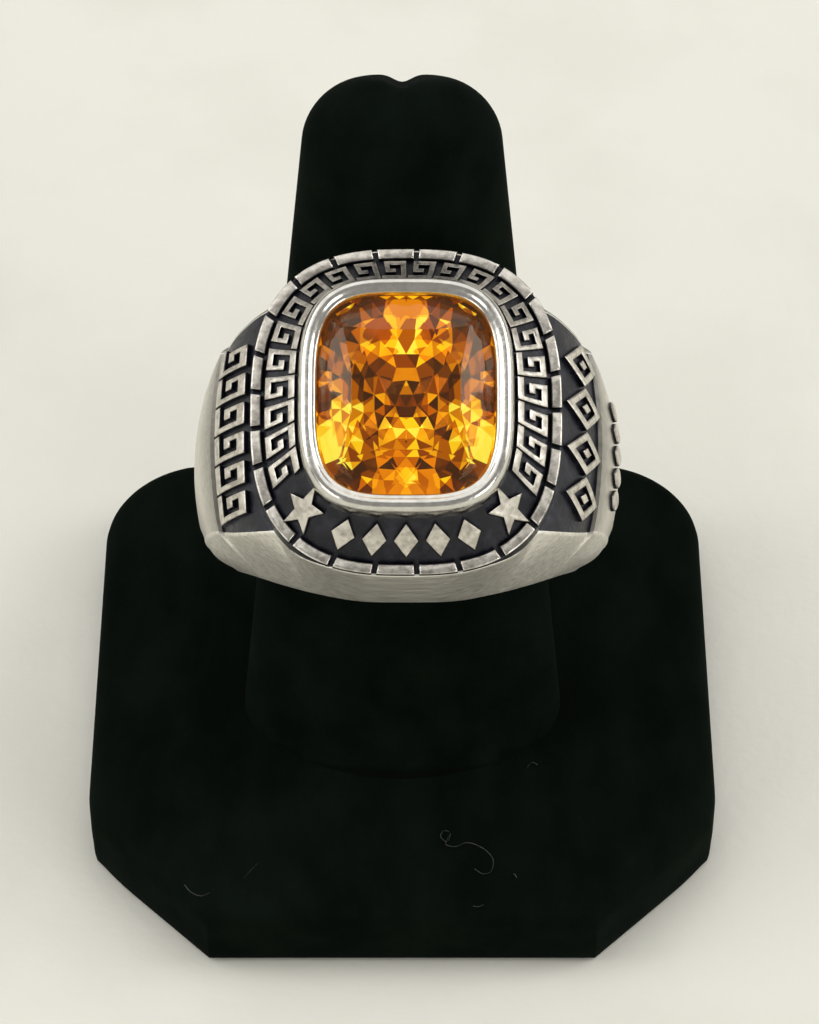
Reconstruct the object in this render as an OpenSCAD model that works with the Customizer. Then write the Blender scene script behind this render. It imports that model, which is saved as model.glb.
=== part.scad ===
// Class ring with a cushion-cut stone, shown on a plain velvet finger stand.
// The ring is worked out in its own axes, X across the finger, Y along it and Z out through the stone,
// and is then tilted on to the leaning finger. All sizes are in millimetres.

/* [Ring size] */
// Inside diameter of the finger hole
bore_d = 20.2; // [18:0.1:22]
// Width of the band at the back of the finger
shank_w = 6.2; // [4:0.1:8]
// Wall of the band at the back of the finger
shank_t = 2.0; // [1.4:0.1:2.6]
// Wall of the shoulder where it meets the head
shoulder_t = 4.9; // [4.4:0.1:5.3]
// Length of the shoulder panel beside the head, along the finger
panel_l = 13.2; // [11:0.1:15]
// How far the shoulders fall away towards their front and back edges
shoulder_fall = 0.7; // [0:0.05:1]
// Softened edge along the outside of the band
band_edge = 0.3; // [0.1:0.05:0.5]

/* [Head] */
// Width of the head over its bar rim
head_w = 17.9; // [16:0.1:19]
// Length of the head over its bar rim, along the finger
head_l = 19.5; // [18:0.1:21]
// How far the head's foot spreads past its rim at each end
head_flare = 0.6; // [0:0.05:1]
// Height of the rim's top above the finger hole
rim_h = 4.3; // [3.9:0.1:5]
// Width of the bars that make up the rim
bar_w = 0.62; // [0.4:0.02:0.9]
// Number of bars round the rim
bar_count = 25; // [16:1:32]
// Gap between two bars
bar_gap = 0.3; // [0.15:0.05:0.5]
// Height of the raised ornament over its sunk ground
relief_h = 0.35; // [0.2:0.05:0.5]
// How much higher the ground stands at the bezel than at the rim
channel_rise = 2.4; // [1.4:0.1:2.8]

/* [Ornament] */
// Number of key pattern units in the long run over the top
key_count = 22; // [14:1:26]
// Number of lozenges between the two stars
lozenge_count = 5; // [3:1:7]
// Distance across a star, from point to point
star_d = 2.5; // [1.6:0.1:2.8]
// Direction of the stars from the middle of the head, below the cross line
star_angle = 47; // [42:1:52]
// Number of key pattern units on the left shoulder
left_key_count = 6; // [4:1:8]
// Number of framed lozenges on the right shoulder
right_lozenge_count = 4; // [3:1:5]
// Number of small leaves below them, down the right side of the band
leaf_count = 5; // [3:1:7]
// Direction of the leaves from the top of the ring
leaf_angle = 69; // [67:1:74]

/* [Bezel and stone] */
// Width of the opening that shows the stone
opening_w = 10.15; // [9:0.05:11]
// Length of the opening that shows the stone
opening_l = 11.85; // [10.5:0.05:12.6]
// Wall of the bezel at its foot
bezel_t = 1.05; // [0.8:0.05:1.3]
// Height of the bezel above the ground beside it
bezel_h = 1.5; // [1.2:0.05:1.8]
// How far the bezel's lip covers the stone's edge
lip = 0.1; // [0.05:0.01:0.2]
// Clearance all round the stone in its seat
stone_gap = 0.06; // [0.03:0.01:0.12]
// Height of the stone's crown above its girdle
crown_h = 1.35; // [0.9:0.05:1.8]
// Thickness of the stone's girdle
girdle_t = 0.2; // [0.1:0.05:0.4]
// Depth of the stone's pavilion below its girdle
pavilion_h = 4.3; // [3.4:0.1:4.4]

/* [Stand] */
// Width of the stand's base
base_w = 38; // [32:0.5:46]
// Depth of the stand's base
base_d = 37.5; // [32:0.5:46]
// Thickness of the stand's base
base_h = 4; // [3:0.5:8]
// Cut across each front corner, measured along a side
front_cut = 7.5; // [4:0.5:10]
// Radius of the base's back corners
back_corner_r = 6.7; // [3:0.1:9]
// Softness of the base's padded edges
base_edge = 1; // [0.4:0.1:1.4]
// Distance from the base's front edge to the foot of the finger
finger_y = 10.9; // [8:0.1:13]
// Lean of the finger back from upright
finger_lean = 34; // [30:0.5:36]
// Length of the finger up its front
finger_l = 42; // [40:0.5:50]
// Width of the finger at its foot
finger_root_w = 20.2; // [18:0.1:22]
// Width of the finger just below its tip
finger_tip_w = 11.2; // [10:0.1:13]
// Thickness of the finger at its foot
finger_root_t = 10.6; // [9:0.1:10.8]
// Thickness of the finger just below its tip
finger_tip_t = 8.8; // [7:0.1:9.5]
// Rounding of the finger's tip
tip_r = 3.6; // [2.5:0.1:4]
// Depth of the fold between the two lobes of the tip
tip_fold = 0.45; // [0.2:0.05:0.8]
// Gap between the finger and the base under it
foot_gap = 0.05; // [0.02:0.01:0.15]

/* [Ring on the stand] */
// Tilt of the finger hole up from level
ring_tilt = 27.7; // [26:0.1:29]
// Place up the finger where the back of the head rests
seat_at = 31.6; // [30:0.1:33]
// Clearance between the head and the velvet where it rests
seat_gap = 0.2; // [0.1:0.05:0.4]
// Sideways lie of the ring on the finger
ring_shift = 0.25; // [-0.4:0.05:0.4]

/* [Hidden] */
bore_r = bore_d / 2;
rim_z = bore_r + rim_h;
ground_z = rim_z - relief_h;
bezel_foot_z = ground_z + channel_rise;
bezel_top_z = bezel_foot_z + bezel_h;
// The stone's girdle lies just under the lip
girdle_depth = 0.95;
girdle_z = bezel_top_z - girdle_depth;
// How far the bezel's mouth opens out at its top
mouth = 0.28;
// The bezel's outer edge is rounded: drawn in, and distance below its top
BEZEL_ROUND = [[0, 0.5], [0.12, 0.18], [0.38, 0]];
// Half sizes and squareness of each outline: across, along, power of the oval
RIM = [head_w / 2, head_l / 2, 2.75];
GROUND = [RIM[0] - bar_w, RIM[1] - bar_w, 2.75];
// The head's foot, where it runs out over the band, is squarer than its rim
FOOT = [head_w / 2 + head_flare * 0.9, head_l / 2 + head_flare, 3];
BEZEL = [opening_w / 2 + bezel_t, opening_l / 2 + bezel_t, 3.3];
OPENING = [opening_w / 2, opening_l / 2, 3.6];
STONE = [opening_w / 2 + lip, opening_l / 2 + lip, 3.6];
// How far inside the hole the band's blank starts, so that the bore cuts it clean
blank_in = 0.6;
// How far raised work runs down into the ground under it, so that they are one solid
rooted = 0.3;
// Points round an outline
AROUND = 72;

// Band from the top of the finger round to the back, every 15 degrees. Each figure is a share:
// the wall at the hole, from the band's width to the head's foot; the wall outside, from the band's width
// to the panel's length; the thickness, from the band's wall to the shoulder's; the fall at the edges.
BAND = [
  // wall at hole, wall outside, thickness, fall
  [1.00, 1.05, 0.38, 0.00],
  [0.98, 1.08, 0.66, 0.00],
  [0.89, 1.07, 0.98, 0.35],
  [0.76, 0.88, 0.78, 0.80],
  [0.63, 0.62, 0.45, 1.00],
  [0.51, 0.48, 0.22, 1.00],
  [0.35, 0.34, 0.09, 0.85],
  [0.20, 0.19, 0.02, 0.65],
  [0.09, 0.08, 0.00, 0.50],
  [0.02, 0.02, 0.00, 0.50],
  [0.00, 0.00, 0.00, 0.50],
  [0.00, 0.00, 0.00, 0.50],
  [0.00, 0.00, 0.00, 0.50],
];
band_step = 15;
// Angles between which a shoulder panel is sunk, from the top of the ring
panel_from = 30;
panel_to = 54;
// The sunk panel's lower edge is a short slope of this many degrees
panel_slope = 0.8;
// Direction of the middle of each shoulder's ornament, and its height down the shoulder
left_mid_angle = 45.3;
right_mid_angle = 46.3;
left_height = 4.2;
right_height = 4.1;
// Further round, the proud border fades out towards the back of the band
fade_from = 100;
fade_over = 40;

function lerp(a, b, k) = a + (b - a) * k;
function bend(a, b, c, d, k) =
  b + 0.5 * k * (c - a + k * (2 * a - 5 * b + 4 * c - d + k * (3 * (b - c) + d - a)));

// A figure of the band's table at any angle, along a smooth curve through its rows
function band_share(angle, column) =
  let (place = min(abs(angle), 179.999) / band_step, i = floor(place), last = len(BAND) - 1)
  bend(BAND[abs(i - 1)][column], BAND[i][column], BAND[i + 1][column],
       BAND[min(i + 2, last)][column], place - i);

function inner_half(angle) = lerp(shank_w / 2, head_l / 2 + head_flare, band_share(angle, 0));
function outer_half(angle) = lerp(shank_w / 2, panel_l / 2, band_share(angle, 1));
function ground_r(angle) = bore_r + lerp(shank_t, shoulder_t, band_share(angle, 2));
// The border below a panel, and the whole back of the band, stand proud of the sunk ground
function band_r(angle) =
  ground_r(angle) + relief_h * max(0, min(1, (abs(angle) - panel_to) / panel_slope))
  - relief_h * max(0, min(1, (abs(angle) - fade_from) / fade_over));

// Section of the band at an angle, its outside raised by extra over the sunk ground
function band_section(angle, extra) =
  let (r = extra > 0 ? ground_r(angle) + extra : band_r(angle),
       fall = shoulder_fall * band_share(angle, 3),
       wi = inner_half(angle), wo = outer_half(angle), e = band_edge, r0 = bore_r - blank_in)
  [for (p = concat([[-wi, r0], [wi, r0], [wi, bore_r + e], [wo, r - fall - e]],
                   [for (s = [1, 0.5, 0, -0.5, -1]) [s * (wo - e), r - fall * s * s]],
                   [[-wo, r - fall - e], [-wi, bore_r + e]]))
     [p[1] * sin(angle), p[0], p[1] * cos(angle)]];

function oval_r(o, angle) =
  pow(pow(abs(cos(angle)) / o[0], o[2]) + pow(abs(sin(angle)) / o[1], o[2]), -1 / o[2]);
function oval_at(o, angle) = oval_r(o, angle) * [cos(angle), sin(angle)];
function grown(o, by) = [o[0] + by, o[1] + by, o[2]];
function oval_ring(o, z, count = AROUND) =
  [for (i = [0:count - 1]) let (p = oval_at(o, 360 * i / count)) [p[0], p[1], z]];

// A place in the sunk channel: direction from the middle of the head, and share of the way out
function channel_at(angle, out) = lerp(oval_at(BEZEL, angle), oval_at(GROUND, angle), out);

// Skin over a list of rings that all have as many points, closed by flat ends or into a loop
module skin(rings, loop = false) {
  n = len(rings[0]);
  m = len(rings);
  last = loop ? m - 1 : m - 2;
  sides = [for (k = [0:last], i = [0:n - 1])
             let (a = k * n, b = ((k + 1) % m) * n, j = (i + 1) % n)
             each [[a + i, b + i, b + j], [a + i, b + j, a + j]]];
  ends = loop ? [] : [[for (i = [0:n - 1]) i], [for (i = [n - 1:-1:0]) (m - 1) * n + i]];
  polyhedron(points = [for (r = rings) each r], faces = concat(sides, ends));
}

// Angles at which the band is drawn, closer together at the panels' lower edges
function band_angles() =
  let (half = concat([for (a = [0:6:48]) a], [panel_to, panel_to + panel_slope],
                     [for (a = [60:6:180]) a]))
  concat(half, [for (i = [len(half) - 2:-1:1]) -half[i]]);

module band() {
  skin([for (a = band_angles()) band_section(a, 0)], loop = true);
}

module head_block() {
  skin([oval_ring(FOOT, bore_r - 2 * blank_in), oval_ring(FOOT, bore_r), oval_ring(RIM, ground_z)]);
}

module channel_cone(raise) {
  skin([oval_ring(GROUND, ground_z - 1), oval_ring(GROUND, ground_z + raise),
        oval_ring(BEZEL, bezel_foot_z + raise)]);
}

module bezel_wall() {
  skin(concat([oval_ring(BEZEL, bezel_foot_z - 1)],
              [for (row = BEZEL_ROUND) oval_ring(grown(BEZEL, -row[0]), bezel_top_z - row[1])],
              [oval_ring(grown(OPENING, mouth), bezel_top_z)]));
}

module rim_bars() {
  step = 360 / bar_count;
  cuts = 3;
  // The bars stand a hair inside the head's outline
  outer = grown(RIM, -0.04);
  for (i = [0:bar_count - 1]) {
    half_gap = bar_gap / oval_r(RIM, step * i) * 90 / PI;
    ticks = [for (k = [0:cuts]) lerp(step * i + half_gap, step * (i + 1) - half_gap, k / cuts)];
    translate([0, 0, ground_z - rooted])
      linear_extrude(relief_h + rooted)
        polygon(concat([for (a = ticks) oval_at(outer, a)],
                       [for (k = [cuts:-1:0]) oval_at(GROUND, ticks[k])]));
  }
}

// One unit of a running key pattern as [along, across] shares, standing on its base line
KEY = [[0, 0.1], [1, 0.1], [1, 0.27], [0.2, 0.27], [0.2, 0.73], [0.62, 0.73], [0.62, 0.57],
       [0.4, 0.57], [0.4, 0.41], [0.8, 0.41], [0.8, 0.9], [0, 0.9]];

// Each unit of a running pattern runs a hair into the next, so that they join
join = 1.001;
// Lozenge between the stars: half its length along the channel, and its ends across it
SHORT_LOZENGE = [[-0.38, 0.5], [0, 0.15], [0.38, 0.5], [0, 0.85]];
// Clear run on both sides of a star, in degrees round the head
run_margin = 12;

module channel_pattern() {
  long_from = run_margin - star_angle;
  long_to = 180 - run_margin + star_angle;
  step = (long_to - long_from) / key_count;
  for (i = [0:key_count - 1])
    polygon([for (p = KEY) channel_at(long_from + step * (i + p[0] * join), p[1])]);
  short_from = 180 + run_margin + star_angle;
  short_step = (360 - run_margin - star_angle - short_from) / lozenge_count;
  for (i = [0:lozenge_count - 1])
    polygon([for (p = SHORT_LOZENGE) channel_at(short_from + short_step * (i + 0.5 + p[0]), p[1])]);
  for (side = [-1, 1])
    translate(channel_at(270 + side * (90 - star_angle), 0.5)) star_2d(star_d / 2);
}

// Five-pointed star with one point towards the front
star_waist = 0.42;
module star_2d(r) {
  polygon([for (i = [0:9]) r * (i % 2 == 0 ? 1 : star_waist) * [sin(36 * i), -cos(36 * i)]]);
}

module channel_relief() {
  intersection() {
    channel_cone(relief_h);
    translate([0, 0, ground_z - rooted]) linear_extrude(channel_rise + 2) channel_pattern();
  }
}

// Outline of a shoulder's ornament: X down the shoulder, Y along the finger
left_margin = 1.3;
module left_pattern(h) {
  run = panel_l - 2 * left_margin;
  step = run / left_key_count;
  for (i = [0:left_key_count - 1])
    polygon([for (p = KEY) [h * (0.5 - p[1]), step * (i + p[0] * join) - run / 2]]);
}

right_margin = 1.2;
// Half sizes of a framed lozenge's outside, inside and middle, as shares of its place
FRAMED = [0.48, 0.29, 0.12];
module right_pattern(h) {
  run = panel_l - 2 * right_margin;
  step = run / right_lozenge_count;
  for (i = [0:right_lozenge_count - 1])
    translate([0, step * (i + 0.5) - run / 2]) {
      difference() {
        lozenge_2d(h * FRAMED[0], step * FRAMED[0]);
        lozenge_2d(h * FRAMED[1], step * FRAMED[1]);
      }
      lozenge_2d(h * FRAMED[2], step * FRAMED[2]);
    }
}

module lozenge_2d(a, b) {
  polygon([[a, 0], [0, b], [-a, 0], [0, -b]]);
}

// The ornament is cut down to a skin that follows the shoulder, from above the panel to below its edge
module shoulder_relief(side) {
  intersection() {
    skin([for (a = [panel_from + 4:5:panel_to + 5]) band_section(side * a, relief_h)]);
    rotate([0, side > 0 ? right_mid_angle : -left_mid_angle, 0])
      translate([0, 0, bore_r + shoulder_t / 2])
        linear_extrude(shoulder_t)
          scale([side, 1])
            if (side > 0) right_pattern(right_height); else left_pattern(left_height);
  }
}

// Small leaves along the right side of the band, below the panel's border
leaf_run = 0.52;
leaf_proud = 1.8;
leaf_reach = 12;
// A leaf is what two rounds have in common: their shift and radius, as shares of its place
leaf_shift = 0.3;
leaf_round = 0.78;
module side_leaves() {
  step = panel_l * leaf_run / leaf_count;
  intersection() {
    skin([for (a = [leaf_angle - leaf_reach:4:leaf_angle + leaf_reach])
            band_section(a, relief_h * leaf_proud)]);
    for (i = [0:leaf_count - 1])
      translate([0, step * (i - (leaf_count - 1) / 2), 0])
        rotate([0, leaf_angle, 0])
          translate([0, 0, bore_r + 1])
            linear_extrude(shoulder_t)
              intersection_for (shift = [-1, 1])
                translate([0, shift * step * leaf_shift]) circle(r = step * leaf_round, $fn = 16);
  }
}

// The cut of the stone, from culet to table: share drawn in from the girdle, share of the depth below
// the girdle or of the height above it, and number of corners
PAVILION = [
  // in, down, corners
  [0.93, 1.00, 8],
  [0.50, 0.62, 8],
  [0.16, 0.24, 16],
  [0.00, 0.00, 32],
];
CROWN = [
  // in, up, corners
  [0.00, 0.00, 32],
  [0.15, 0.55, 16],
  [0.38, 1.00, 8],
];
function stone_oval(in, by = 0) = [STONE[0] * (1 - in) + by, STONE[1] * (1 - in) + by, STONE[2]];

// Distance from the girdle up to where the lip closes on the stone
lip_above = 0.3;
module stone_seat() {
  floor_z = girdle_z - girdle_t - stone_gap;
  skin(concat(
    [for (row = PAVILION) oval_ring(stone_oval(row[0], stone_gap), floor_z - pavilion_h * row[1])],
    [oval_ring(grown(STONE, stone_gap), girdle_z + stone_gap),
     oval_ring(OPENING, girdle_z + lip_above),
     oval_ring(grown(OPENING, mouth), bezel_top_z + 0.001),
     oval_ring(grown(OPENING, mouth), bezel_top_z + 1)]));
}

module on_finger() {
  translate([ring_shift, ring_y, ring_z]) rotate([ring_tilt, 0, 0]) children();
}

module ring_body() {
  color("silver")
    on_finger()
      difference() {
        union() {
          band();
          head_block();
          channel_cone(0);
          bezel_wall();
          rim_bars();
          channel_relief();
          shoulder_relief(-1);
          shoulder_relief(1);
          side_leaves();
        }
        rotate([90, 0, 0]) cylinder(h = head_l * 2, r = bore_r, center = true, $fn = 96);
        stone_seat();
      }
}

// Corners of one level of the cut, all levels starting at the same direction
first_corner = 22.5;
function stone_level(row, z) =
  let (o = stone_oval(row[0]))
  [for (i = [0:row[2] - 1])
     let (p = oval_at(o, first_corner + 360 * i / row[2])) [p[0], p[1], z]];
// Facets between a level that starts at point a with n corners and the next, at b, with m corners,
// where one has as many corners as the other or twice as many
function facets(a, n, b, m) =
  n == m ? [for (i = [0:n - 1]) let (j = (i + 1) % n)
              each [[a + i, b + i, b + j], [a + i, b + j, a + j]]]
  : m > n ? [for (i = [0:n - 1]) let (j = (i + 1) % n, half = b + 2 * i + 1)
               each [[a + i, half - 1, half], [a + i, half, a + j], [a + j, half, b + 2 * j]]]
  : [for (i = [0:m - 1]) let (j = (i + 1) % m, half = a + 2 * i + 1)
       each [[half - 1, b + i, half], [half, b + i, b + j], [half, b + j, a + 2 * j]]];

module stone() {
  levels = concat(
    [for (row = PAVILION) stone_level(row, girdle_z - girdle_t - pavilion_h * row[1])],
    [for (row = CROWN) stone_level(row, girdle_z + crown_h * row[1])]);
  corners = [for (level = levels) each level];
  count = [for (level = levels) len(level)];
  last = len(levels) - 1;
  // Number of the first corner of each level
  start = [for (k = 0, sum = 0; k <= last; sum = sum + count[k], k = k + 1) sum];
  sides = [for (k = [0:last - 1]) each facets(start[k], count[k], start[k + 1], count[k + 1])];
  ends = [[for (i = [0:count[0] - 1]) i], [for (i = [count[last] - 1:-1:0]) start[last] + i]];
  color("orange")
    on_finger()
      polyhedron(points = corners, faces = concat(sides, ends));
}

// Finger: rings of an oval that narrows towards a rounded tip, in the finger's own axes
finger_lines = 40;
// Half width of the pucker below the fold of the tip, and its depth as a share of the thickness
fold_half_w = 1.1;
fold_dent = 0.12;
// The tip is rounded less in thickness than in width
tip_flatness = 0.85;
// How far the finger starts below the top of the base, before its foot is cut level
finger_start = -2;
// Steps in the rounding of the tip, and how far round it they go
tip_steps = 5;
tip_turn = 84;
function finger_width(s) = lerp(finger_root_w, finger_tip_w, s / finger_l);
function finger_thick(s) = lerp(finger_root_t, finger_tip_t, s / finger_l);
function finger_ring(s, inset, fold) =
  let (a = finger_width(s) / 2 - inset, t = finger_thick(s), b = t / 2 - inset * tip_flatness)
  [for (i = [0:finger_lines - 1])
     let (g = 360 * i / finger_lines, near = max(0, 1 - abs(cos(g)) * a / fold_half_w))
     [a * cos(g), t / 2 + b * sin(g) * (1 - fold_dent * fold * near), s - tip_fold * fold * near]];
finger_rings = concat(
  [finger_ring(finger_start, 0, 0)],
  [for (share = [0, 0.25, 0.5, 0.75]) finger_ring(share * finger_l, 0, 0)],
  [for (k = [0:tip_steps])
     let (g = tip_turn * k / tip_steps)
     finger_ring(finger_l - tip_r * (1 - sin(g)), tip_r * (1 - cos(g)), k / tip_steps)]);
function leaned(p) =
  [p[0], finger_y + p[1] * cos(finger_lean) + p[2] * sin(finger_lean),
   base_h + p[2] * cos(finger_lean) - p[1] * sin(finger_lean)];
// Depth of the whole thing, from the base's front edge to the furthest point of the leaning tip
whole_d = max([for (r = finger_rings, p = r) leaned(p)[1]]);
// Middle of the finger hole, from where the back edge of the head's foot rests on the finger
head_foot = head_l / 2 + head_flare;
seat = leaned([0, -seat_gap, seat_at]);
ring_y = seat[1] - head_foot * cos(ring_tilt) + bore_r * sin(ring_tilt) - whole_d / 2;
ring_z = seat[2] - head_foot * sin(ring_tilt) - bore_r * cos(ring_tilt);

module stand_finger() {
  color("black")
    translate([0, -whole_d / 2, 0])
      difference() {
        skin([for (r = finger_rings) [for (p = r) leaned(p)]]);
        translate([-base_w, -base_d, base_h + foot_gap - base_w])
          cube([2 * base_w, 3 * base_d, base_w]);
      }
}

// Outline of the base, drawn in by a distance, anticlockwise from the front left
corner_steps = 6;
// A cut corner's ends move in by these shares of the distance
cut_along = 0.4;
cut_back = 0.6;
function base_outline(in, z) =
  let (half = base_w / 2 - in, cut = front_cut - in * cut_along, r = back_corner_r - in)
  concat([[cut - half, in, z], [half - cut, in, z], [half, cut + in * cut_back, z]],
         [for (k = [0:corner_steps]) let (g = 90 * k / corner_steps)
            [half - r + r * cos(g), base_d - in - r + r * sin(g), z]],
         [for (k = [0:corner_steps]) let (g = 90 + 90 * k / corner_steps)
            [r - half + r * cos(g), base_d - in - r + r * sin(g), z]],
         [[-half, cut + in * cut_back, z]]);

// Edge of the base from the bottom up: drawn in, and height, both in parts of its softness;
// the first two rows are measured from the bottom, the others from the top
BASE_FOOT = [[0.4, 0], [0, 0.6]];
BASE_TOP = [[0, 1], [0.35, 0.3], [1, 0]];
module stand_base() {
  e = base_edge;
  color("black")
    translate([0, -whole_d / 2, 0])
      skin(concat([for (row = BASE_FOOT) base_outline(e * row[0], e * row[1])],
                  [for (row = BASE_TOP) base_outline(e * row[0], base_h - e * row[1])]));
}

ring_body();
stone();
stand_finger();
stand_base();
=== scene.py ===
# A class ring of antiqued silver with an amber stone, on a finger stand covered in black velvet.
# The file goes in the order of the work: camera, table and light, stand, silver casting with its
# ornament, stone.
import math
import random

import bmesh
import bpy
import numpy as np
from mathutils import Matrix, Vector


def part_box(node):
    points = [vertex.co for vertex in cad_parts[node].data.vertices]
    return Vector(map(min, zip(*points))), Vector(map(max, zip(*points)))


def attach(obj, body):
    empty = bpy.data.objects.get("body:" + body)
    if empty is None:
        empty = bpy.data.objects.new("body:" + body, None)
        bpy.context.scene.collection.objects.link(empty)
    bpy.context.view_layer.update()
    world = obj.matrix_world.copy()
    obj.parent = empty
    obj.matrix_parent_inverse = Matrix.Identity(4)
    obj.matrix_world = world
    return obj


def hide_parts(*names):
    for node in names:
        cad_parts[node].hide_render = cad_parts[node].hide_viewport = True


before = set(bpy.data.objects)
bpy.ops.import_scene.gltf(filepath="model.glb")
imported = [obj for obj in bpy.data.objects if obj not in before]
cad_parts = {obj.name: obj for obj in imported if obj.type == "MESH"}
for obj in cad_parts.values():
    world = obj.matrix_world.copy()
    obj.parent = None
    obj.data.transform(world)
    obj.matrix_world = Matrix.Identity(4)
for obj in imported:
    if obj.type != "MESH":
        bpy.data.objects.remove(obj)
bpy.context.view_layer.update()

# Camera
# The photograph was taken from straight in front, looking down on the stand at 47 degrees from about
# a quarter of a metre away. The lens is given by its focal length in pixels of an 819 by 1024 picture.
MM = 0.001
PICTURE_H = 1024
FOCAL_PX = 4080
SENSOR = 36
look_down = math.radians(47)
look_at = Vector((0.44, 16.41, 0)) * MM
look_from = 268 * MM

lens = bpy.data.cameras.new("camera")
lens.sensor_width = SENSOR
lens.lens = FOCAL_PX / PICTURE_H * SENSOR
lens.clip_start = 5 * MM
camera = bpy.data.objects.new("camera", lens)
camera.location = look_at + look_from * Vector((0, -math.cos(look_down), math.sin(look_down)))
camera.rotation_euler = (math.pi / 2 - look_down, 0, 0)
bpy.context.scene.collection.objects.link(camera)
bpy.context.scene.camera = camera

# Table and light
# The stand is on a sheet of pale paper that goes on out of sight. Soft boxes overhead, at both sides
# and low in front of both corners light it. The room round them is dim, so that the silver and the
# stone have something dark to mirror.
PAPER = (0.80, 0.785, 0.70)
PAPER_WORN = (0.765, 0.75, 0.665)
ROOM = (1.0, 0.985, 0.96)
paper_size = 3
paper_gap = 0.02 * MM
room_light = 0.33
# Nearly all of a noise pattern lies between these two values
NOISE_SPAN = (0.3, 0.7)
soft_boxes = [
    # name, place in mm, size across and along in mm, watts
    ("overhead", (-40, 205, 500), (800, 640), 1.36),
    ("left", (-480, 40, 300), (300, 520), 1.22),
    ("right", (470, 80, 280), (260, 480), 1.25),
    ("front_left", (-400, -430, 170), (260, 300), 0.56),
    ("front_right", (410, -420, 170), (260, 300), 0.90),
]


def make_finish(name, colour, roughness, metallic=0.0, **sockets):
    """A material with one shader, whose even values sit on the shader itself."""
    finish = bpy.data.materials.new(name)
    finish.use_nodes = True
    shader = finish.node_tree.nodes["Principled BSDF"]
    shader.inputs["Base Color"].default_value = (*colour, 1)
    shader.inputs["Roughness"].default_value = roughness
    shader.inputs["Metallic"].default_value = metallic
    for socket, value in sockets.items():
        shader.inputs[socket.replace("_", " ").title().replace("Ior", "IOR")].default_value = value
    return finish, shader


def grain(finish, per_mm, stretch=(1, 1, 1), detail=3.0):
    """Noise fixed to the piece, with so many grains in a millimetre, stretched by the shares given."""
    nodes = finish.node_tree.nodes
    place = nodes.new("ShaderNodeTexCoord")
    scale = nodes.new("ShaderNodeMapping")
    scale.inputs["Scale"].default_value = [per_mm * share / MM for share in stretch]
    noise = nodes.new("ShaderNodeTexNoise")
    noise.inputs["Scale"].default_value = 1
    noise.inputs["Detail"].default_value = detail
    finish.node_tree.links.new(place.outputs["Object"], scale.inputs["Vector"])
    finish.node_tree.links.new(scale.outputs["Vector"], noise.inputs["Vector"])
    return noise.outputs["Fac"]


def tint(finish, shader, pattern, low, high, start=0.38, end=0.62):
    """The shader's colour goes from low to high as the pattern goes from start to end."""
    ramp = finish.node_tree.nodes.new("ShaderNodeValToRGB")
    ramp.color_ramp.elements[0].position = start
    ramp.color_ramp.elements[0].color = (*low, 1)
    ramp.color_ramp.elements[1].position = end
    ramp.color_ramp.elements[1].color = (*high, 1)
    finish.node_tree.links.new(pattern, ramp.inputs["Fac"])
    finish.node_tree.links.new(ramp.outputs["Color"], shader.inputs["Base Color"])


def dull(finish, shader, pattern, low, high):
    """The shader's roughness goes from low to high with the pattern."""
    span = finish.node_tree.nodes.new("ShaderNodeMapRange")
    span.inputs["From Min"].default_value = NOISE_SPAN[0]
    span.inputs["From Max"].default_value = NOISE_SPAN[1]
    span.inputs["To Min"].default_value = low
    span.inputs["To Max"].default_value = high
    finish.node_tree.links.new(pattern, span.inputs["Value"])
    finish.node_tree.links.new(span.outputs["Result"], shader.inputs["Roughness"])


def roughen(finish, shader, patterns, strength=1.0):
    """Bumps stacked on each other, each given as a pattern and its depth in millimetres."""
    below = None
    for pattern, depth in patterns:
        bump = finish.node_tree.nodes.new("ShaderNodeBump")
        bump.inputs["Strength"].default_value = strength
        bump.inputs["Distance"].default_value = depth * MM
        finish.node_tree.links.new(pattern, bump.inputs["Height"])
        if below:
            finish.node_tree.links.new(below, bump.inputs["Normal"])
        below = bump.outputs["Normal"]
    finish.node_tree.links.new(below, shader.inputs["Normal"])


paper, paper_shader = make_finish("pale_paper", PAPER, 0.9)
tint(paper, paper_shader, grain(paper, 0.06, detail=5), PAPER_WORN, PAPER, 0.4, 0.56)
roughen(paper, paper_shader, [(grain(paper, 1.2), 0.04)])
half = paper_size / 2
sheet_corners = [(-half, -half, 0), (half, -half, 0), (half, half, 0), (-half, half, 0)]
sheet_mesh = bpy.data.meshes.new("table_paper")
sheet_mesh.from_pydata(sheet_corners, [], [(0, 1, 2, 3)])
sheet_mesh.materials.append(paper)
table_paper = bpy.data.objects.new("table_paper", sheet_mesh)
bpy.context.scene.collection.objects.link(table_paper)
table_paper.location.z = -paper_gap

world = bpy.data.worlds.new("room")
world.use_nodes = True
world.node_tree.nodes["Background"].inputs["Color"].default_value = (*ROOM, 1)
world.node_tree.nodes["Background"].inputs["Strength"].default_value = room_light
bpy.context.scene.world = world
bpy.context.scene.view_settings.view_transform = "Standard"

for name, place, size, watts in soft_boxes:
    lamp = bpy.data.lights.new(f"soft_box_{name}", "AREA")
    lamp.shape = "RECTANGLE"
    lamp.size = size[0] * MM
    lamp.size_y = size[1] * MM
    lamp.energy = watts
    box = bpy.data.objects.new(f"soft_box_{name}", lamp)
    box.location = Vector(place) * MM
    box.rotation_euler = (-box.location).to_track_quat("-Z", "Y").to_euler()
    bpy.context.scene.collection.objects.link(box)

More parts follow.
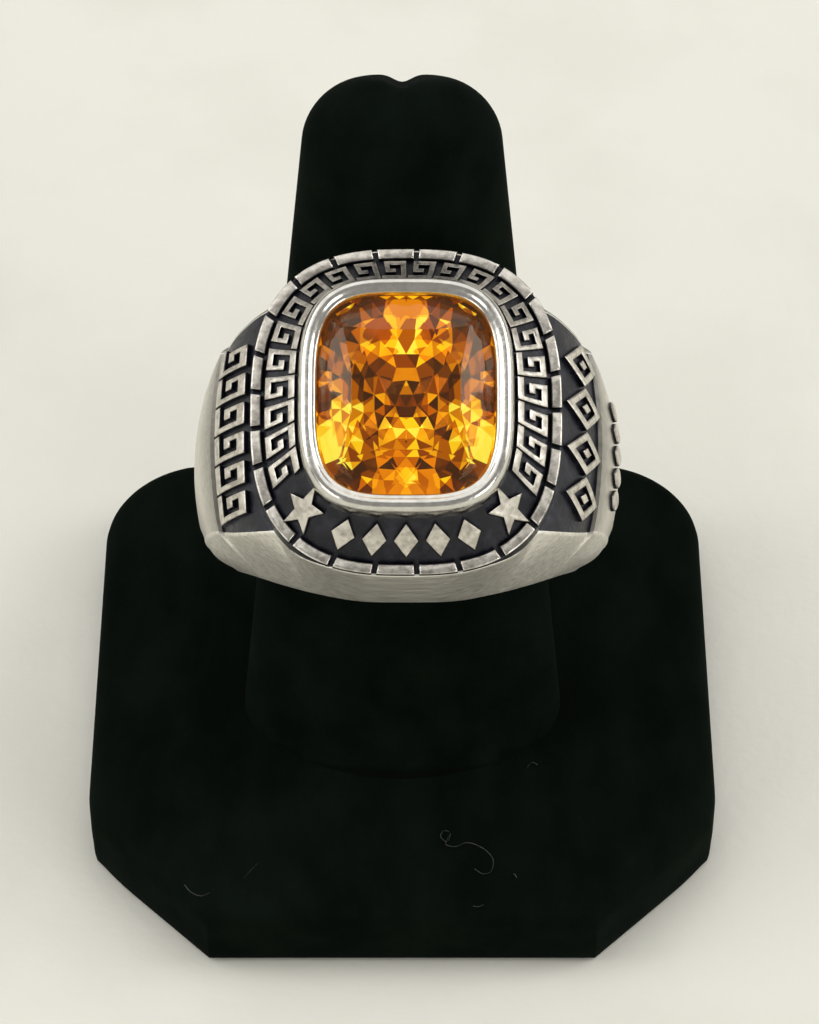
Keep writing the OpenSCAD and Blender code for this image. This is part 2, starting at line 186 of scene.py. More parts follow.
# Velvet base
# A flat board with two cut front corners and two round back ones, covered in black velvet that is
# drawn tight over its edges. A shallow furrow crosses it where the finger is let in.
VELVET = (0.0018, 0.0036, 0.0022)
VELVET_BRUSHED = (0.0038, 0.0066, 0.0042)
VELVET_SHEEN = (0.55, 0.62, 0.58)
base_low, base_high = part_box("stand_base")
front_cut = 7.5 * MM
cut_softness = 1.4 * MM
back_radius = 6.7 * MM
padded_edge = 0.9 * MM
tuck_under = 0.35 * MM
furrow_y = base_low.y + 10.7 * MM
furrow_depth = 0.16 * MM
furrow_width = 0.55 * MM
furrow_half_l = 15.5 * MM
furrow_fade = 5 * MM
# The padding under the velvet swells a little, in waves given in radians for each metre
padding_swell = 0.05 * MM
waves_across = 260
waves_along = 190
swell_from_edge = 4 * MM
base_columns = 96
base_rows = 104
crowding = 0.75
front_points = 24
side_points = 160


def make_piece(name, points, faces, finishes, kinds=None, sharp=38):
    """A piece of the object: its mesh in metres, a finish for each kind of face, and what it rides on."""
    mesh = bpy.data.meshes.new(name)
    mesh.from_pydata([tuple(map(float, p)) for p in points], [], faces)
    for finish in finishes:
        mesh.materials.append(finish)
    if kinds is not None:
        mesh.polygons.foreach_set("material_index", kinds)
    shape = bmesh.new()
    shape.from_mesh(mesh)
    bmesh.ops.recalc_face_normals(shape, faces=shape.faces)
    shape.to_mesh(mesh)
    shape.free()
    mesh.polygons.foreach_set("use_smooth", [sharp > 0] * len(mesh.polygons))
    if sharp > 0:
        mesh.set_sharp_from_angle(angle=math.radians(sharp))
    piece = bpy.data.objects.new(name, mesh)
    bpy.context.scene.collection.objects.link(piece)
    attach(piece, "root")
    return piece


def loft(ring_count, around, loop=False, caps=True):
    """Faces over rings that all have as many points, closed by caps or into a loop."""
    faces = []
    for k in range(ring_count if loop else ring_count - 1):
        low, high = k * around, (k + 1) % ring_count * around
        for i in range(around):
            j = (i + 1) % around
            faces.append((low + i, low + j, high + j, high + i))
    if caps and not loop:
        faces.append(tuple(reversed(range(around))))
        faces.append(tuple(range((ring_count - 1) * around, ring_count * around)))
    return faces


def base_half_width(y):
    """Half the base's width at a distance from its front edge, both in metres."""
    half_w = (base_high.x - base_low.x) / 2
    depth = base_high.y - base_low.y
    cut = max(0.0, front_cut - y)
    soft = cut_softness / 2 * math.exp(-(((y - front_cut) / cut_softness) ** 2))
    from_back = max(0.0, back_radius - (depth - y))
    back = back_radius - math.sqrt(max(0.0, back_radius**2 - from_back**2))
    return half_w - cut - soft * 0.45 - back


def spread(low, high, count, crowd):
    """Numbers from low to high. The share crowd sets how much closer together they are at both ends."""
    even = np.linspace(-1, 1, count)
    bent = (1 - crowd) * even + crowd * np.sin(even * math.pi / 2)
    return low + (high - low) * (bent + 1) / 2


velvet, velvet_shader = make_finish(
    "black_velvet", VELVET, 0.95, specular_ior_level=0.03, sheen_weight=0.012, sheen_roughness=0.35
)
velvet_shader.inputs["Sheen Tint"].default_value = (*VELVET_SHEEN, 1)
tint(velvet, velvet_shader, grain(velvet, 0.35, (1, 0.5, 1), 4), VELVET, VELVET_BRUSHED, 0.35, 0.7)
roughen(velvet, velvet_shader, [(grain(velvet, 0.8, detail=2), 0.06), (grain(velvet, 9, detail=4), 0.05)])

base_depth = base_high.y - base_low.y
top_points = []
for y in spread(0, base_depth, base_rows, crowding):
    width = base_half_width(y)
    for share in spread(-1, 1, base_columns, crowding):
        top_points.append((share * width, y))
flat = np.array(top_points)

# The velvet rolls over the board's edge, so its height goes by how far a place is from the outline
outline_front = [(x, 0.0) for x in np.linspace(-base_half_width(0), base_half_width(0), front_points)]
side_ys = np.linspace(0, base_depth, side_points)
outline_right = [(base_half_width(y), y) for y in side_ys]
outline_left = [(-base_half_width(y), y) for y in reversed(side_ys)]
outline_places = np.array(outline_front + outline_right + outline_left)
outline_steps = np.roll(outline_places, -1, axis=0) - outline_places
to_edge = np.full(len(flat), 1e9)
for place, step in zip(outline_places, outline_steps):
    share = np.clip(((flat - place) @ step) / max((step**2).sum(), 1e-18), 0, 1)
    to_edge = np.minimum(to_edge, np.linalg.norm(flat - place - share[:, None] * step, axis=1))
roll = np.clip(1 - to_edge / padded_edge, 0, 1)
height = base_high.z - padded_edge * (1 - np.sqrt(1 - roll**2))
furrow = np.exp(-(((flat[:, 1] + base_low.y - furrow_y) / furrow_width) ** 2))
reach = np.clip((furrow_half_l - np.abs(flat[:, 0])) / furrow_fade, 0, 1)
height -= furrow_depth * furrow * reach
swell = np.sin(flat[:, 0] * waves_across) * np.sin(flat[:, 1] * waves_along + 1)
height += padding_swell * swell * np.clip(to_edge / swell_from_edge, 0, 1)
middle_x = (base_high.x + base_low.x) / 2
base_points = [(x + middle_x, y + base_low.y, z) for (x, y), z in zip(flat, height)]
base_faces = []
for row in range(base_rows - 1):
    for column in range(base_columns - 1):
        a = row * base_columns + column
        base_faces.append((a, a + 1, a + base_columns + 1, a + base_columns))
border = list(range(base_columns))
border += [row * base_columns + base_columns - 1 for row in range(1, base_rows)]
border += [(base_rows - 1) * base_columns + c for c in range(base_columns - 2, -1, -1)]
border += [row * base_columns for row in range(base_rows - 2, 0, -1)]
centre = np.array([middle_x, base_low.y + base_depth / 2])
# Down the sides: how far the velvet is tucked under, and its height, as shares
side_levels = [(0.0, 0.62), (0.0, 0.3), (0.12, 0.08), (1.0, 0.0)]
previous = border
for tucked, height_share in side_levels:
    ring = []
    for index in border:
        x, y, z = base_points[index]
        inward = centre - np.array([x, y])
        inward = inward / np.linalg.norm(inward) * tuck_under * tucked
        ring.append(len(base_points))
        base_points.append((x + inward[0], y + inward[1], z * height_share))
    for i in range(len(border)):
        j = (i + 1) % len(border)
        base_faces.append((previous[i], previous[j], ring[j], ring[i]))
    previous = ring
base_faces.append(tuple(previous))
velvet_base = make_piece("velvet_base", base_points, base_faces, [velvet], sharp=75)
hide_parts("stand_base")

# Velvet finger
# A stiff tapering tongue, padded and covered in the same velvet, glued into the base and leaning back.
# The velvet is folded together at its tip, which leaves two soft lobes with a small pucker between.
finger_lean = math.radians(34)
finger_l = 42
# Width and thickness, at its foot and at its tip
finger_w = (20.2, 11.2)
finger_t = (10.6, 8.8)
finger_foot_y = base_low.y / MM + 10.9
finger_let_in = 2
tip_radius = 3.6
tip_bend = math.radians(87)
tip_fold = 0.5
tip_roundness = 0.85
fold_half_w = 0.75
pucker_l = 2.6
pucker_depth = 0.1
pucker_at_back = 0.6
finger_around = 72
finger_rings = 46
tip_rings = 14


def finger_ring(along, inset, fold, shrunk=1.0):
    """Points round the finger at a distance up it, drawn in by an inset, all in millimetres."""
    share = along / finger_l
    thick = finger_t[0] + (finger_t[1] - finger_t[0]) * share
    a = shrunk * ((finger_w[0] + (finger_w[1] - finger_w[0]) * share) / 2 - inset)
    b = shrunk * (thick / 2 - inset * tip_roundness)
    ring = []
    for i in range(finger_around):
        turn = 2 * math.pi * i / finger_around
        across = a * math.cos(turn)
        near = math.exp(-((across / fold_half_w) ** 2))
        pucker = near * math.exp(-((finger_l - along) / pucker_l) ** 2)
        pucker *= 1 if math.sin(turn) < 0 else pucker_at_back
        depth = thick / 2 + b * math.sin(turn) * (1 - pucker_depth * pucker)
        up = along - tip_fold * fold * near
        y = finger_foot_y + depth * math.cos(finger_lean) + up * math.sin(finger_lean)
        z = base_high.z / MM + up * math.cos(finger_lean) - depth * math.sin(finger_lean)
        ring.append((across * MM, y * MM, z * MM))
    return ring


finger_points = []
straight_l = finger_l - tip_radius + finger_let_in
for k in range(finger_rings):
    finger_points += finger_ring(-finger_let_in + straight_l * k / (finger_rings - 1), 0, 0)
for k in range(1, tip_rings + 1):
    bend = tip_bend * k / tip_rings
    finger_points += finger_ring(
        finger_l - tip_radius * (1 - math.sin(bend)), tip_radius * (1 - math.cos(bend)), k / tip_rings
    )
# The tip is closed by the last ring over again, drawn together in shares of its width
closing = (0.88, 0.74, 0.60, 0.46, 0.32, 0.18, 0.06)
for share in closing:
    finger_points += finger_ring(
        finger_l - tip_radius * (1 - math.sin(bend)), tip_radius * (1 - math.cos(bend)), 1, share
    )
finger_faces = loft(finger_rings + tip_rings + len(closing), finger_around)
velvet_finger = make_piece("velvet_finger", finger_points, finger_faces, [velvet], sharp=75)
trim = bmesh.new()
trim.from_mesh(velvet_finger.data)
bmesh.ops.bisect_plane(
    trim, geom=trim.verts[:] + trim.edges[:] + trim.faces[:],
    plane_co=(0, 0, base_high.z - furrow_depth / 2), plane_no=(0, 0, 1), clear_inner=True
)
bmesh.ops.holes_fill(trim, edges=[e for e in trim.edges if e.is_boundary])
trim.to_mesh(velvet_finger.data)
trim.free()
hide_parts("stand_finger")

# Lint
# A few pale fibres have stuck to the velvet of the base: one long curl in front of the finger, some
# short hairs and a few specks. Each is a bent thread a few hundredths of a millimetre thick.
LINT = (0.05, 0.05, 0.045)
LINT_DARK = (0.02, 0.02, 0.018)
lint_finish, lint_shader = make_finish("pale_lint", LINT, 0.8)
tint(lint_finish, lint_shader, grain(lint_finish, 3), LINT_DARK, LINT)
lint_r = 0.02
lint_clear = 0.05
lint_arch = 0.10
lint_corners = 5
lint_cuts = 8
# Bends of each fibre on the base, in millimetres aside from the middle and towards the back
lint_lines = [
    [(2.4, -13.5), (2.3, -14.0), (2.7, -14.4), (2.9, -13.8), (2.6, -14.6), (3.2, -14.8), (3.9, -14.5),
     (4.8, -14.9), (5.4, -15.7), (5.3, -16.6), (4.8, -16.8), (4.3, -16.4)],
    [(2.3, -13.9), (2.5, -13.6), (2.8, -13.6)],
    [(-9.4, -17.1), (-9.0, -16.6), (-8.6, -16.0)],
    [(-12.9, -17.6), (-12.5, -18.2), (-11.9, -18.5), (-11.4, -18.2)],
    [(6.6, -16.8), (6.7, -16.9), (6.8, -17.1)],
    [(7.6, -8.6), (7.9, -8.3), (8.2, -8.4)],
    [(4.2, -19.2), (4.5, -19.3), (4.8, -19.1)],
]
lint_points = []
lint_faces = []
draw = random.Random(4)
for line in lint_lines:
    steps = lint_cuts * (len(line) - 1)
    knots = np.array(line)
    first = len(lint_points)
    for k in range(steps + 1):
        place = k / steps * (len(line) - 1)
        i = min(int(place), len(line) - 2)
        p = [knots[max(i - 1, 0)], knots[i], knots[i + 1], knots[min(i + 2, len(line) - 1)]]
        t = place - i
        at = 0.5 * (2 * p[1] + (p[2] - p[0]) * t + (2 * p[0] - 5 * p[1] + 4 * p[2] - p[3]) * t**2
                    + (3 * (p[1] - p[2]) + p[3] - p[0]) * t**3)
        lift = lint_r + lint_arch * math.sin(math.pi * k / steps) + draw.uniform(0, 0.01)
        for corner in range(lint_corners):
            turn = 2 * math.pi * corner / lint_corners
            lint_points.append((
                (at[0] + lint_r * math.cos(turn)) * MM,
                (at[1] + lint_r * math.cos(turn)) * MM,
                base_high.z + (lift + lint_clear + lint_r * math.sin(turn)) * MM,
            ))
    lint_faces += [tuple(first + index for index in face) for face in loft(steps + 1, lint_corners)]
make_piece("lint", lint_points, lint_faces, [lint_finish])

# Silver casting: band and shoulders
# The ring is one casting in silver. Its band widens and thickens from the back of the finger up to two
# shoulders, whose tops are sunk and blackened. The side walls are brushed with fine lines, and run up to
# the head's rim in one smooth sweep.
SILVER = (0.85, 0.82, 0.745)
SILVER_SHADE = (0.63, 0.605, 0.535)
SILVER_PAINTED_LIT = (0.68, 0.65, 0.58)
SILVER_PAINTED_SHADE = (0.20, 0.19, 0.165)
POLISH = (0.76, 0.74, 0.68)
POLISH_WORN = (0.60, 0.58, 0.53)
BLACKENED = (0.004, 0.005, 0.009)
BLACKENED_WORN = (0.022, 0.022, 0.034)
ring_tilt = math.radians(27.7)
ring_middle = Vector((0.25, base_low.y / MM + 23.936, 16.556)) * MM
bore_r = 10.1
shank_w = 6.2
shank_t = 2.0
shoulder_t = 4.9
shoulder_fall = 0.7
panel_l = 13.2
head_w = 17.9
head_l = 19.5
head_flare = 0.6
rim_h = 4.3
relief = 0.35
ground_z = bore_r + rim_h - relief
# An oval outline: half its width, half its length, and a power that is larger the squarer it is
RIM = (head_w / 2, head_l / 2, 2.75)
panel_to = 54
panel_slope = 0.8
border_fades = (100, 140)
# The band from under the stone round to the back of the finger, every 15 degrees, in shares:
# its width at the hole, from the plain band's to the head's foot; its width outside, from the plain
# band's to the panel's length; thickness, from the plain band's to the shoulder's; fall at the edges
BAND = [
    (1.00, 1.05, 0.38, 0), (0.98, 1.08, 0.66, 0), (0.89, 1.07, 0.98, 0.35), (0.76, 0.88, 0.78, 0.80),
    (0.63, 0.62, 0.45, 1), (0.51, 0.48, 0.22, 1), (0.35, 0.34, 0.09, 0.85), (0.20, 0.19, 0.02, 0.65),
    (0.09, 0.08, 0, 0.50), (0.02, 0.02, 0, 0.5), (0, 0, 0, 0.5), (0, 0, 0, 0.5), (0, 0, 0, 0.5),
]
band_step = 15


def on_ring(points):
    """Places in the ring's own axes, in millimetres, put where the ring lies on the stand, in metres."""
    turn = np.array(Matrix.Rotation(ring_tilt, 3, "X"))
    return np.asarray(points, float) @ turn.T * MM + np.array(ring_middle)


def mix(a, b, share):
    """The value at a share of the way from a to b."""
    return a + (b - a) * share


def ease(share):
    """A share held between 0 and 1, and eased at both."""
    share = min(1.0, max(0.0, share))
    return share * share * (3 - 2 * share)


def ramp(angle, start, end):
    """0 up to a start angle and 1 from an end angle on, the same to the left and the right."""
    return min(1.0, max(0.0, (abs(angle) - start) / (end - start)))


def band_share(angle, column):
    """A figure of the band's table at any angle, along a smooth curve through its rows."""
    place = min(abs(angle), 179.999) / band_step
    i = int(place)
    a, b, c, d = (BAND[min(abs(k), len(BAND) - 1)][column] for k in (i - 1, i, i + 1, i + 2))
    t = place - i
    return b + 0.5 * t * (c - a + t * (2 * a - 5 * b + 4 * c - d + t * (3 * (b - c) + d - a)))


def oval_radius(outline, angle):
    """How far an oval outline is from its middle in a direction."""
    a, b, power = outline
    sum_of_shares = (np.abs(np.cos(angle)) / a) ** power + (np.abs(np.sin(angle)) / b) ** power
    return sum_of_shares ** (-1 / power)


def ground_radius(angle):
    """The ground of the panels, and the outside of the band at its back, from the ring's middle."""
    return bore_r + mix(shank_t, shoulder_t, band_share(angle, 2))


def band_fall(angle):
    """How much lower the outside of the band is at its edges than along its middle."""
    return shoulder_fall * band_share(angle, 3)


def band_radius(angle):
    """The outside of the band, which stands proud of the panels by their relief."""
    proud = ramp(angle, panel_to, panel_to + panel_slope)
    faded = ramp(angle, *border_fades)
    return ground_radius(angle) + relief * (proud - faded)


def rim_half_length(x):
    """Half the length of the head's rim, along the finger, at a distance from its middle line."""
    share = min(1.0, abs(x) / RIM[0])
    return RIM[1] * (1 - share ** RIM[2]) ** (1 / RIM[2])


# Angle and height at which the panel's edges run into the head's rim
panel_half = panel_l / 2
junction = 30.0
for _ in range(20):
    junction_half = mix(shank_w / 2, panel_half, band_share(junction, 1))
    junction_x = RIM[0] * (1 - (junction_half / RIM[1]) ** RIM[2]) ** (1 / RIM[2])
    junction = math.degrees(math.asin(junction_x / (ground_radius(junction) - band_fall(junction))))
junction_z = (ground_radius(junction) - band_fall(junction)) * math.cos(math.radians(junction))
wall_drop_over = 15
# Angles over which the shoulder's wall swells out, and over which it goes flat again
wall_bulge = 0.2
bulge_grows = (50, 70)
bulge_fades = (95, 120)
# The wall's upper edge is evened out over this stretch of angles, so that its sweep has no kink
wall_sweep = range(-16, 17, 2)
# How far the section's corners are rounded: little round the panels, more towards the band's back
panel_edge_soft = 0.14
top_soft_range = (0.16, 0.55)
top_softens = (56, 106)
bore_soft_range = (0.22, 0.7)
bore_softens = (40, 75)
CORNER_POINTS = 5


def soft_corner(before, corner, after, soft):
    """A corner of a section, rounded off over the distance soft on both sides."""
    before, corner, after = map(np.array, (before, corner, after))
    one = corner + (before - corner) / np.linalg.norm(before - corner) * soft
    two = corner + (after - corner) / np.linalg.norm(after - corner) * soft
    shares = np.linspace(0, 1, CORNER_POINTS)
    return [(1 - t) ** 2 * one + 2 * t * (1 - t) * corner + t * t * two for t in shares]


# Under the stone the head is hollow down to a thin floor, and only a ledge is left inside the rim
rim_ledge = 1.2
head_floor = 1.0
BORE_CUTS = 5
WALL_CUTS = 12
TOP_CUTS = 14


def top_corner(angle):
    """Where the side wall meets the top at an angle: half length along the finger, and radius."""
    if abs(angle) < junction:
        z = mix(junction_z, ground_z, ease((junction - abs(angle)) / wall_drop_over))
        turn = math.radians(angle)
        return np.array([rim_half_length(z * math.tan(turn)), z / math.cos(turn)])
    half_length = mix(shank_w / 2, panel_half, band_share(angle, 1))
    return np.array([half_length, band_radius(angle) - band_fall(angle)])


def band_ring(angle):
    """Section of the band at an angle from the top, as places in the ring's axes."""
    lower = mix(shank_w / 2, head_l / 2 + head_flare, band_share(angle, 0))
    upper, radius = top_corner(angle)
    smooth_top = sum(top_corner(angle + turn) for turn in wall_sweep) / len(wall_sweep)
    top_soft = mix(*top_soft_range, ease(ramp(angle, *top_softens)))
    if abs(angle) < panel_to + panel_slope:
        top_soft = panel_edge_soft
    bore_soft = mix(*bore_soft_range, ease(ramp(angle, *bore_softens)))
    corners = [(-lower, bore_r), (lower, bore_r), (upper, radius), (-upper, radius)]
    softness = [bore_soft, bore_soft, top_soft, top_soft]
    cuts = [BORE_CUTS, WALL_CUTS, TOP_CUTS, WALL_CUTS]
    rounded = [soft_corner(corners[i - 1], corners[i], corners[(i + 1) % 4], softness[i]) for i in range(4)]
    # Between its foot and its edge the wall is drawn out towards the evened line
    strayed = np.maximum(smooth_top - (upper, radius), (0, -1))
    bulge = wall_bulge * ease(ramp(angle, *bulge_grows)) * (1 - ease(ramp(angle, *bulge_fades)))
    section = []
    for i in range(4):
        section += rounded[i]
        begin, end = rounded[i][-1], rounded[(i + 1) % 4][0]
        for k in range(1, cuts[i]):
            t = k / cuts[i]
            up = t if i == 1 else 1 - t
            place = mix(begin, end, t)
            if i in (1, 3):
                outward = (1 if i == 1 else -1, 1)
                place += strayed * outward * up * (1 - up ** 3)
                place[0] += outward[0] * bulge * 4 * up * (1 - up)
            if i == 2:
                place[1] += band_fall(angle) * (1 - (place[0] / upper) ** 2)
            if i == 2 and abs(angle) < junction and abs(place[0]) < upper - rim_ledge:
                place[1] = bore_r + head_floor
            section.append(place)
    turn = math.radians(angle)
    return [(r * math.sin(turn), y, r * math.cos(turn)) for y, r in section]


# Sections stand closer together where the panel's edge meets the rim, and at the panel's foot
at_junction = [junction + turn for turn in (-0.8, -0.02, 0.02, 0.8)]
at_panel_foot = [panel_to + turn for turn in (0, 0.27, 0.53, panel_slope, 1.4)]
half_angles = sorted(
    [*range(0, 27, 2)] + at_junction + [*range(30, panel_to, 2)] + at_panel_foot + [*range(57, 181, 3)]
)
band_angles = half_angles + [-a for a in reversed(half_angles[1:-1])]

silver_brushed, brushed_shader = make_finish("brushed_silver", SILVER, 0.42, 1.0)
brush_lines = grain(silver_brushed, 14, (0.04, 1, 1), 2)
brush_shades = grain(silver_brushed, 5, (0.04, 1, 1), 4)
tint(silver_brushed, brushed_shader, brush_shades, SILVER_SHADE, SILVER, 0.34, 0.66)
dull(silver_brushed, brushed_shader, brush_lines, 0.40, 0.54)
roughen(silver_brushed, brushed_shader, [(brush_lines, 0.003), (grain(silver_brushed, 2.5), 0.008)])

silver_polished, polished_shader = make_finish("polished_silver", SILVER, 0.16, 1.0)
wear = grain(silver_polished, 1.6, detail=5)
tint(silver_polished, polished_shader, wear, POLISH_WORN, POLISH, 0.3, 0.66)
dull(silver_polished, polished_shader, grain(silver_polished, 4, (1, 0.2, 1)), 0.13, 0.27)
roughen(silver_polished, polished_shader, [(wear, 0.02), (grain(silver_polished, 7), 0.004)])

blackening, black_shader = make_finish("blackened_silver", BLACKENED, 0.34, 0.35)
tarnish = grain(blackening, 1.3, detail=5)
tint(blackening, black_shader, tarnish, BLACKENED, BLACKENED_WORN, 0.42, 0.72)
dull(blackening, black_shader, grain(blackening, 5), 0.25, 0.5)
roughen(blackening, black_shader, [(tarnish, 0.05), (grain(blackening, 12), 0.012)])

# Below the panels, and on the wall towards the fingertip, the silver carries a painted shade near the head.
# It is painted dark above one height over the ring's middle, bright below another, and patchy between them
painted_shade_above = 9.2 * MM
painted_lit_below = 5.0 * MM
shade_patches = 0.10
silver_painted_shade, painted_shade_shader = make_finish("painted_shade_silver", SILVER_SHADE, 0.40, 1.0)
nodes, links = silver_painted_shade.node_tree.nodes, silver_painted_shade.node_tree.links
place = nodes.new("ShaderNodeTexCoord")
from_middle = nodes.new("ShaderNodeVectorMath")
from_middle.operation = "SUBTRACT"
from_middle.inputs[1].default_value = ring_middle
outwards = nodes.new("ShaderNodeVectorMath")
outwards.operation = "DOT_PRODUCT"
outwards.inputs[1].default_value = (0, -math.sin(ring_tilt), math.cos(ring_tilt))
shade_by_height = nodes.new("ShaderNodeMapRange")
shade_by_height.inputs["From Min"].default_value = painted_shade_above
shade_by_height.inputs["From Max"].default_value = painted_lit_below
uneven = nodes.new("ShaderNodeMapRange")
uneven.inputs["From Min"].default_value = NOISE_SPAN[0]
uneven.inputs["From Max"].default_value = NOISE_SPAN[1]
uneven.inputs["To Min"].default_value = -shade_patches
uneven.inputs["To Max"].default_value = shade_patches
together = nodes.new("ShaderNodeMath")
together.operation = "ADD"
links.new(place.outputs["Object"], from_middle.inputs[0])
links.new(from_middle.outputs["Vector"], outwards.inputs[0])
links.new(outwards.outputs["Value"], shade_by_height.inputs["Value"])
links.new(grain(silver_painted_shade, 2, (0.4, 1, 1), 4), uneven.inputs["Value"])
links.new(shade_by_height.outputs["Result"], together.inputs[0])
links.new(uneven.outputs["Result"], together.inputs[1])
tint(silver_painted_shade, painted_shade_shader, together.outputs["Value"], SILVER_PAINTED_SHADE, SILVER_PAINTED_LIT, 0.05, 0.95)
dull(silver_painted_shade, painted_shade_shader, grain(silver_painted_shade, 10, (0.1, 1, 1), 2), 0.30, 0.44)

band_rings = [band_ring(angle) for angle in band_angles]
per_ring = len(band_rings[0])
band_points = on_ring([p for ring in band_rings for p in ring])
band_faces = loft(len(band_rings), per_ring, loop=True)
# Round a section come the hole, the wall towards the fingertip, the top and the wall towards the base
BRUSHED, SUNK, POLISHED, PAINTED_SHADE = range(4)
bore_first = CORNER_POINTS - 1
far_wall_first = bore_first + BORE_CUTS
top_first = 3 * CORNER_POINTS + BORE_CUTS + WALL_CUTS - 3
band_kinds = []
for k in range(len(band_rings)):
    here = abs((band_angles[k] + band_angles[(k + 1) % len(band_angles)]) / 2)
    if band_angles[k] * band_angles[(k + 1) % len(band_angles)] < 0:
        here = 180 if abs(band_angles[k]) > 90 else 0
    for i in range(per_ring):
        on_top = top_first <= i < top_first + TOP_CUTS
        in_bore = bore_first <= i < far_wall_first
        sunk = on_top and here < panel_to + panel_slope / 2
        away = far_wall_first <= i < top_first - 1
        # The wall towards the fingertip and the tops past the panels take the silver with painted shade
        kind = PAINTED_SHADE if away or on_top else POLISHED if in_bore else BRUSHED
        band_kinds.append(SUNK if sunk else kind)
ring_band = make_piece(
    "ring_band", band_points, band_faces,
    [silver_brushed, blackening, silver_polished, silver_painted_shade], band_kinds, sharp=32
)
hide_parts("ring_body")

# Silver casting: head
# The head is an oval table on top of the band. From its rim the ground slopes up to the bezel, and is
# blackened all over, so that the raised work stands out from it.
channel_rise = 2.4
bezel_t = 1.05
bezel_h = 1.5
opening_w = 10.15
opening_l = 11.85
bar_w = 0.62
channel_dip = 0.10
GROUND = (RIM[0] - bar_w, RIM[1] - bar_w, RIM[2])
BEZEL = (opening_w / 2 + bezel_t, opening_l / 2 + bezel_t, 3.3)
OPENING = (opening_w / 2, opening_l / 2, 3.6)
bezel_foot_z = ground_z + channel_rise
bezel_top_z = bezel_foot_z + bezel_h
head_around = 160


def oval_ring(outline, z, grown=0.0):
    """Places round an oval outline at a height, with the outline grown all round by a distance."""
    a, b, power = outline
    angles = 2 * math.pi * np.arange(head_around) / head_around
    radius = oval_radius((a + grown, b + grown, power), angles)
    return np.column_stack([radius * np.cos(angles), radius * np.sin(angles), np.full(head_around, z)])


# The rim's outside and its worn corner, the ledge behind it, and the slope up to the bezel
head_rings = [
    oval_ring(RIM, bore_r + head_floor, -0.04),
    oval_ring(RIM, ground_z - 0.08, -0.04),
    oval_ring(RIM, ground_z, -0.12),
    oval_ring(GROUND, ground_z),
]
for share in (0.25, 0.5, 0.75, 0.95):
    dip = channel_dip * math.sin(math.pi * share)
    outline = [mix(at_rim, at_bezel, share) for at_rim, at_bezel in zip(GROUND, BEZEL)]
    head_rings.append(oval_ring(outline, mix(ground_z, bezel_foot_z, share) - dip))
head_rings.append(oval_ring(BEZEL, bezel_foot_z + 0.06, -0.02))
head_faces = loft(len(head_rings), head_around, caps=False)
make_piece("head_ground", on_ring(np.concatenate(head_rings)), head_faces, [blackening], sharp=40)

# Silver casting: bezel
# A polished collar round the stone. It has been burnished over by hand, so its top is softly rounded,
# and a thin bright edge is left where it closes on the stone.
bezel_profile = [
    # share of the way from the outside to the opening, height under the top
    (-0.02, bezel_h + 0.25), (0.00, bezel_h * 0.55), (0.03, 0.62), (0.09, 0.34), (0.18, 0.15), (0.30, 0.04),
    (0.43, 0.00), (0.56, 0.02), (0.67, 0.08), (0.74, 0.15), (0.77, 0.16), (0.86, 0.17), (0.94, 0.22),
    (1.00, 0.34), (1.00, 0.80),
]
bezel_rings = []
for share, down in bezel_profile:
    ring = mix(oval_ring(BEZEL, bezel_top_z), oval_ring(OPENING, bezel_top_z), share)
    ring[:, 2] -= down
    bezel_rings.append(ring)
# Underneath, out of sight, the collar is closed by a ledge and a foot sunk in the ground
bezel_rings.append(oval_ring(OPENING, bezel_top_z - 0.9, 0.5))
bezel_rings.append(oval_ring(BEZEL, bezel_foot_z - 0.25, -0.35))
bezel_loop = loft(len(bezel_rings), head_around, loop=True)
make_piece("bezel", on_ring(np.concatenate(bezel_rings)), bezel_loop, [silver_polished], sharp=60)

# Silver casting: rim of bars
# Round the edge of the head runs a rim of flat bars, cast with it and rubbed bright on top. The slots
# between them are left dark.
RUBBED = (0.72, 0.68, 0.61)
RUBBED_LOW = (0.40, 0.37, 0.32)
bar_count = 25
bar_gap = 0.3
bar_edge = 0.09
bar_inset = 0.03
bar_points = 10
work_root = 0.12
frame_cuts = 6


def channel_share(x, y):
    """How far a place is from the bezel on its way to the rim's inner edge."""
    angle = np.arctan2(y, x)
    inner, outer = oval_radius(BEZEL, angle), oval_radius(GROUND, angle)
    return (np.hypot(x, y) - inner) / (outer - inner)


def over_head(places, height):
    """Places on the head's sloping ground, raised by a height."""
    share = np.clip(channel_share(places[:, 0], places[:, 1]), 0, 1)
    z = mix(bezel_foot_z, ground_z, share) - channel_dip * np.sin(math.pi * share) + height
    return np.column_stack([places, z])


def fine_outline(outline, longest=0.28, fewest=1):
    """An outline turned anticlockwise, its sides cut up so that it can bend over its ground."""
    points = np.asarray(outline, float)
    after = np.roll(points, -1, axis=0)
    if (points[:, 0] * after[:, 1] - after[:, 0] * points[:, 1]).sum() < 0:
        points = points[::-1]
        after = np.roll(points, -1, axis=0)
    fine = []
    for begin, end in zip(points, after):
        cuts = max(fewest, math.ceil(np.linalg.norm(end - begin) / longest))
        fine += [mix(begin, end, k / cuts) for k in range(cuts)]
    return np.array(fine)


def drawn_in(points, distance):
    """A fine outline drawn in all round by a distance, with its corners kept."""
    leg_in = points - np.roll(points, 1, axis=0)
    leg_out = np.roll(points, -1, axis=0) - points
    leg_in /= np.linalg.norm(leg_in, axis=1)[:, None]
    leg_out /= np.linalg.norm(leg_out, axis=1)[:, None]
    normal_in = np.column_stack([-leg_in[:, 1], leg_in[:, 0]])
    normal_out = np.column_stack([-leg_out[:, 1], leg_out[:, 0]])
    spread_by = 1 + (normal_in * normal_out).sum(1)
    return points + distance * (normal_in + normal_out) / np.maximum(spread_by, 0.15)[:, None]


